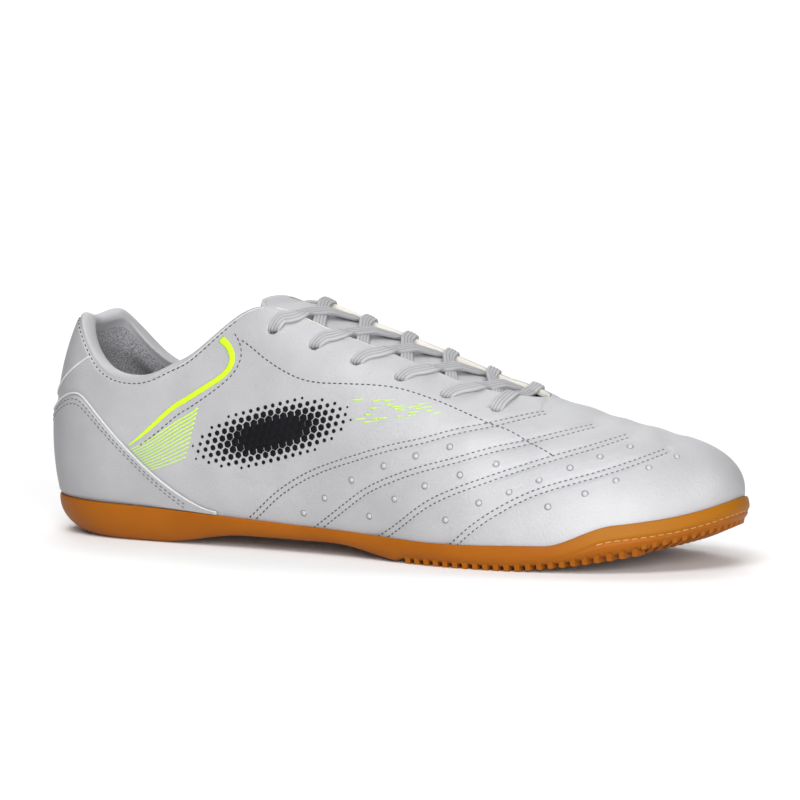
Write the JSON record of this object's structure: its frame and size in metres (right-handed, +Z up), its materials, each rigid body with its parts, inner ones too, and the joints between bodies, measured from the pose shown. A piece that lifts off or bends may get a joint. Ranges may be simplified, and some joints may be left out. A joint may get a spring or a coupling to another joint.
{
  "type": "indoor soccer shoe",
  "caption": "Low indoor soccer shoe with a lasted silver upper, laced throat, padded collar and a gum-rubber cup sole ribbed under the forefoot.",
  "frame": {"origin": "on the floor under the middle of the shoe's box", "axes": "X runs from heel to toe, Y from the outer side to the inner side, Z up"},
  "size_m": [0.2919, 0.0972, 0.0985],
  "materials": {
    "gum_rubber": "satin gum rubber",
    "insole_cloth": "knitted cover",
    "silver_leather": "fine-grained silver grey synthetic leather",
    "tongue_leather": "padded, fine-grained",
    "counter_leather": "fine-grained, piped edge",
    "lace_braid": "flat braid"
  },
  "bodies": {
    "root": {"outsole": "gum_rubber", "insole": "insole_cloth", "upper": "silver_leather", "tongue": "tongue_leather", "heel_counter": "counter_leather", "lace_crossing_1": "lace_braid", "lace_crossing_2": "lace_braid", "lace_crossing_3": "lace_braid", "lace_crossing_4": "lace_braid", "lace_crossing_5": "lace_braid", "lace_bar": "lace_braid"}
  },
  "joints": []
}
